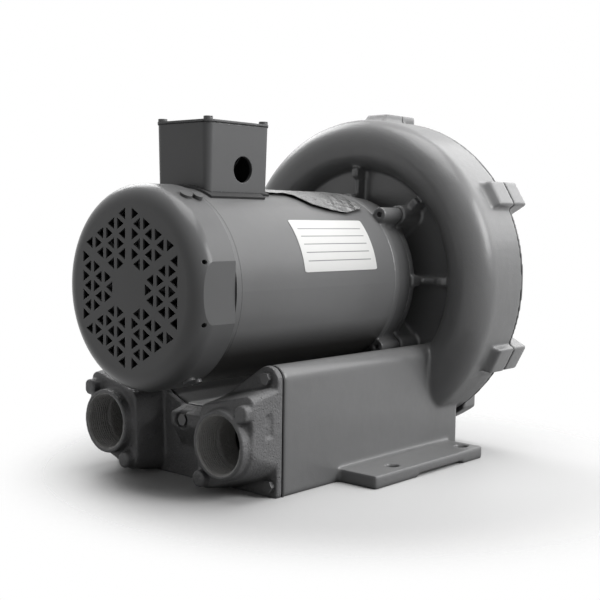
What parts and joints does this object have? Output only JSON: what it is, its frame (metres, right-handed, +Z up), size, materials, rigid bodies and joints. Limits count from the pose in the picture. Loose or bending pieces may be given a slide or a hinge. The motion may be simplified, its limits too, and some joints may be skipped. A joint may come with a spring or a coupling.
{
  "type": "side channel blower",
  "caption": "Side channel blower with flange-mounted electric motor, ring-shaped impeller casing, base box with feet and two threaded front ports.",
  "frame": {"origin": "centre of the rectangular foot bolt pattern on the base plane", "axes": "+Z up; +Y along the motor axis from the fan end towards the impeller casing, so the ports and the fan grille face -Y; +X to the right seen from the fan end"},
  "size_m": [0.314, 0.3725, 0.3304],
  "materials": {
    "casing_paint": "semi gloss grey paint on cast aluminium",
    "manifold_iron": "dark painted iron casting, rough",
    "motor_paint": "semi gloss grey paint on steel and cast aluminium",
    "shroud_paint": "semi gloss grey paint on pressed steel",
    "zinc_steel": "zinc plated",
    "ground_brass": "plain brass",
    "machined_steel": "ground steel",
    "core_steel": "stacked laminations",
    "copper": "varnished copper wire",
    "bare_aluminium": "as cast",
    "gasket_black": "matt",
    "fan_plastic": "moulded",
    "lead_insulation": "insulated wire",
    "liner_foam": "open cell acoustic liner",
    "plate_foil": "satin foil, blank",
    "label_white": "satin label stock, blank"
  },
  "bodies": {
    "casing": {"bearing_preload_washer": "zinc_steel", "box_mount_screws": "zinc_steel", "casing_clamp_bolts": "zinc_steel", "drive_end_bearing_outer": "machined_steel", "drive_end_bell": "motor_paint", "fan_end_bearing_outer": "machined_steel", "fan_end_bell": "motor_paint", "fan_shroud": "shroud_paint", "ground_screw": "ground_brass", "impeller_housing": "casing_paint", "label_plate": "label_white", "manifold_bolts": "zinc_steel", "manifold_cover": "manifold_iron", "manifold_gasket": "gasket_black", "motor_leads": "lead_insulation", "motor_mount_studs": "zinc_steel", "motor_shell": "motor_paint", "motor_through_bolts": "zinc_steel", "muffler_liner_left": "liner_foam", "muffler_liner_right": "liner_foam", "rating_plate": "plate_foil", "rear_cover": "casing_paint", "shaft_seal": "gasket_black", "shroud_screws": "zinc_steel", "stator_core": "core_steel", "stator_winding": "copper", "terminal_box": "shroud_paint", "terminal_box_gasket": "gasket_black", "terminal_box_lid": "shroud_paint", "terminal_box_lid_gasket": "gasket_black", "terminal_box_lid_screws": "zinc_steel"},
    "rotor": {"motor_shaft": "machined_steel", "rotor_core": "core_steel", "rotor_cage": "bare_aluminium", "cooling_fan": "fan_plastic", "fan_clip": "zinc_steel", "impeller": "bare_aluminium", "impeller_key": "zinc_steel", "impeller_shims": "zinc_steel", "impeller_washer": "zinc_steel", "impeller_bolt": "zinc_steel", "fan_end_bearing_inner": "machined_steel", "drive_end_bearing_inner": "machined_steel"},
    "fan_end_cage": {"fan_end_bearing_cage": "machined_steel", "fan_end_bearing_balls": "machined_steel"},
    "drive_end_cage": {"drive_end_bearing_cage": "machined_steel", "drive_end_bearing_balls": "machined_steel"}
  },
  "joints": [
    {"name": "rotor_spin", "type": "hinge", "parent": "casing", "child": "rotor", "pos_m": [0, 0, 0.1664], "axis": [0, 1, 0], "continuous": true},
    {"name": "fan_end_cage_spin", "type": "hinge", "parent": "casing", "child": "fan_end_cage", "pos_m": [0, -0.188, 0.1664], "axis": [0, 1, 0], "continuous": true},
    {"name": "drive_end_cage_spin", "type": "hinge", "parent": "casing", "child": "drive_end_cage", "pos_m": [0, 0.0135, 0.1664], "axis": [0, 1, 0], "continuous": true}
  ],
  "couplings": [
    {"joint": "fan_end_cage_spin", "follows": "rotor_spin", "ratio": 0.3842},
    {"joint": "drive_end_cage_spin", "follows": "rotor_spin", "ratio": 0.3987}
  ]
}
